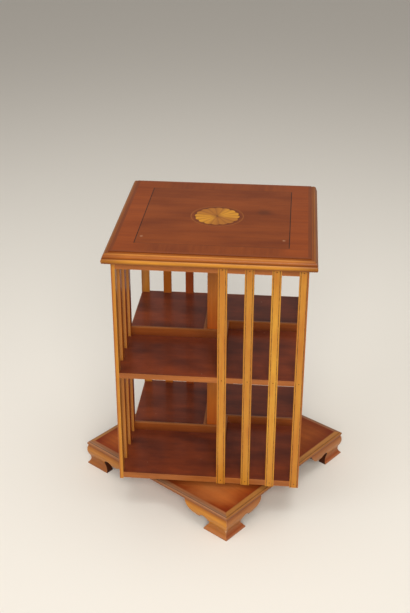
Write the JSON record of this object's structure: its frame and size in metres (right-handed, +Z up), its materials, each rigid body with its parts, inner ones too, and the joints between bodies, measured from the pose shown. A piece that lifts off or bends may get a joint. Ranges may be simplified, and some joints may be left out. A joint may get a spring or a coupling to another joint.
{
  "type": "revolving bookcase",
  "caption": "Square two-tier revolving bookcase of boards and beaded slats that turns on a ball-bearing turntable over a moulded base with ogee bracket feet.",
  "frame": {"origin": "on the floor under the vertical spin axis, at the centre of the footprint", "axes": "+Z up along the spin axis, -Y towards the front face of the case, +X to the right of someone facing it"},
  "size_m": [0.6432, 0.6432, 0.6685],
  "materials": {
    "honey_slat_wood": "satin varnish",
    "honey_moulding_wood": "satin varnish",
    "foot_wood": "satin varnish",
    "shelf_wood": "satin varnish",
    "rail_wood": "satin varnish",
    "column_wood": "satin varnish",
    "top_veneer": "polished varnish",
    "base_veneer": "polished varnish",
    "ebonised_stringing": "polished varnish",
    "patera_dark_ground": "polished varnish",
    "patera_light_ring": "polished varnish",
    "satinwood_fan": "polished varnish",
    "beech_dowel": "bare",
    "pine_block": "bare",
    "zinc_plated_steel": "zinc plated",
    "bearing_steel": "polished",
    "nylon_cage": "matte"
  },
  "bodies": {
    "base": {"back_foot_left_bracket": "foot_wood", "back_foot_right_bracket": "foot_wood", "base_board": "base_veneer", "base_moulding_back_left": "honey_moulding_wood", "base_moulding_back_right": "honey_moulding_wood", "base_moulding_front_left": "honey_moulding_wood", "base_moulding_front_right": "honey_moulding_wood", "foot_glue_blocks": "pine_block", "front_foot_left_bracket": "foot_wood", "front_foot_right_bracket": "foot_wood", "left_foot_left_bracket": "foot_wood", "left_foot_right_bracket": "foot_wood", "right_foot_left_bracket": "foot_wood", "right_foot_right_bracket": "foot_wood", "turntable_lower_plate": "zinc_plated_steel"},
    "ball_ring": {"turntable_ball_cage": "nylon_cage", "turntable_balls": "bearing_steel"},
    "case": {"back_slat_1": "honey_slat_wood", "back_slat_2": "honey_slat_wood", "back_slat_3": "honey_slat_wood", "back_slat_4": "honey_slat_wood", "bottom_shelf": "shelf_wood", "case_top_board": "shelf_wood", "column_dowels": "beech_dowel", "front_slat_1": "honey_slat_wood", "front_slat_2": "honey_slat_wood", "front_slat_3": "honey_slat_wood", "front_slat_4": "honey_slat_wood", "left_slat_1": "honey_slat_wood", "left_slat_2": "honey_slat_wood", "left_slat_3": "honey_slat_wood", "left_slat_4": "honey_slat_wood", "lower_column_post": "column_wood", "lower_rail_back": "rail_wood", "lower_rail_front": "rail_wood", "lower_rail_left": "rail_wood", "lower_rail_right": "rail_wood", "middle_shelf": "shelf_wood", "patera_fan": "satinwood_fan", "patera_ground": "patera_dark_ground", "patera_ring": "patera_light_ring", "right_slat_1": "honey_slat_wood", "right_slat_2": "honey_slat_wood", "right_slat_3": "honey_slat_wood", "right_slat_4": "honey_slat_wood", "top_moulding_back": "honey_moulding_wood", "top_moulding_front": "honey_moulding_wood", "top_moulding_left": "honey_moulding_wood", "top_moulding_right": "honey_moulding_wood", "top_panel": "top_veneer", "top_stringing": "ebonised_stringing", "turntable_upper_plate": "zinc_plated_steel", "upper_column_post": "column_wood", "upper_rail_back": "rail_wood", "upper_rail_front": "rail_wood", "upper_rail_left": "rail_wood", "upper_rail_right": "rail_wood"}
  },
  "joints": [
    {"name": "case_spin", "type": "hinge", "parent": "base", "child": "case", "pos_m": [0, 0, 0.0735], "axis": [0, 0, 1], "continuous": true},
    {"name": "ball_ring_spin", "type": "hinge", "parent": "base", "child": "ball_ring", "pos_m": [0, 0, 0.0735], "axis": [0, 0, 1], "continuous": true}
  ],
  "couplings": [
    {"joint": "ball_ring_spin", "follows": "case_spin", "ratio": 0.5}
  ]
}
